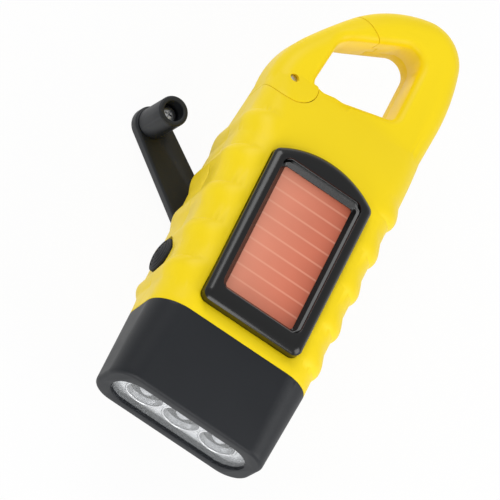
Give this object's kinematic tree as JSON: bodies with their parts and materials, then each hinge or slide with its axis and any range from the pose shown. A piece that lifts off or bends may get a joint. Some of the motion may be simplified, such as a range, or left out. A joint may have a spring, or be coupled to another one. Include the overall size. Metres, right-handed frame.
{
  "type": "hand crank flashlight",
  "caption": "Hand crank flashlight with a solar panel, folding crank, wide lamp head and a carabiner loop with a sprung gate.",
  "frame": {"origin": "centre of the lamp rim's end plane", "axes": "+Y from the lamp to the carabiner loop, +Z out of the face with the solar panel, +X to the right of that face with the loop at the top"},
  "size_m": [0.0656, 0.135, 0.0489],
  "materials": {
    "yellow_case": "satin moulded ABS, bright yellow",
    "steel": "bright steel",
    "black_case": "fine satin charcoal plastic",
    "clear": "clear moulded polycarbonate",
    "plated": "vacuum-plated plastic",
    "led_resin": "clear epoxy lamps",
    "circuit_board": "green circuit board",
    "gloss_black": "glossy black plastic",
    "solar_film": "copper-coloured thin-film solar panel",
    "bronze": "sintered bronze",
    "gear_plastic": "white acetal",
    "plate_plastic": "black moulded plastic",
    "ferrite": "dark grey ferrite",
    "iron": "zinc-plated soft iron",
    "copper_wire": "enamelled copper winding",
    "soft_black": "soft black rubber",
    "component_black": "moulded components",
    "cell_sleeve": "green shrink sleeve"
  },
  "bodies": {
    "root": {"front_shell": "yellow_case", "back_shell": "yellow_case", "gate_pin": "steel", "gate_spring": "steel", "head_bezel": "black_case", "lens": "clear", "reflector": "plated", "leds": "led_resin", "led_board": "circuit_board", "solar_frame": "gloss_black", "solar_cell": "solar_film", "hub_bush": "bronze", "gear_axles": "steel", "gearbox_plate": "plate_plastic", "plate_screws": "steel", "stator_core": "iron", "stator_coil": "copper_wire", "generator_cap": "iron", "switch_body": "plate_plastic", "switch_board": "circuit_board", "charge_board": "circuit_board", "board_parts": "component_black", "board_screws": "steel", "battery_cells": "cell_sleeve", "battery_contacts": "steel", "battery_holder": "plate_plastic", "case_screws": "steel"},
    "gate": {"gate": "yellow_case"},
    "crank": {"crank_hub": "black_case", "hub_screw": "steel", "hinge_pin": "steel", "drive_gear": "gear_plastic"},
    "arm": {"crank_arm": "black_case", "knob_screw": "steel"},
    "knob": {"knob": "black_case"},
    "gear_1": {"gear_1": "gear_plastic"},
    "gear_2": {"gear_2": "gear_plastic"},
    "rotor": {"rotor": "steel", "rotor_magnet": "ferrite"},
    "button": {"switch_button": "soft_black"}
  },
  "joints": [
    {"name": "crank_spin", "type": "hinge", "parent": "root", "child": "crank", "pos_m": [0, 0.055, -0.025], "axis": [0, 0, 1], "continuous": true},
    {"name": "arm_flip", "type": "hinge", "parent": "crank", "child": "arm", "pos_m": [0, 0.055, -0.0272], "axis": [-0.592, -0.8059, 0], "range_deg": [0, 180]},
    {"name": "knob_spin", "type": "hinge", "parent": "arm", "child": "knob", "pos_m": [-0.03546, 0.08105, -0.02], "axis": [0, 0, 1], "continuous": true},
    {"name": "gate_open", "type": "hinge", "parent": "root", "child": "gate", "pos_m": [-0.0169, 0.097, 0.002], "axis": [0, 0, -1], "range_deg": [0, 20], "stiffness_Nm_per_rad": 0.02},
    {"name": "switch_press", "type": "slide", "parent": "root", "child": "button", "axis": [1, 0, 0], "range_m": [0, 0.0012], "stiffness_N_per_m": 400},
    {"name": "gear_1_spin", "type": "hinge", "parent": "root", "child": "gear_1", "pos_m": [0.00861, 0.06777, -0.016], "axis": [0, 0, 1], "continuous": true},
    {"name": "gear_2_spin", "type": "hinge", "parent": "root", "child": "gear_2", "pos_m": [-0.00251, 0.07226, -0.014], "axis": [0, 0, 1], "continuous": true},
    {"name": "rotor_spin", "type": "hinge", "parent": "root", "child": "rotor", "pos_m": [-0.00872, 0.06574, -0.01], "axis": [0, 0, 1], "continuous": true}
  ],
  "couplings": [
    {"joint": "gear_1_spin", "follows": "crank_spin", "ratio": -2.6667},
    {"joint": "gear_2_spin", "follows": "crank_spin", "ratio": 6.2222},
    {"joint": "rotor_spin", "follows": "crank_spin", "ratio": -12.444}
  ]
}
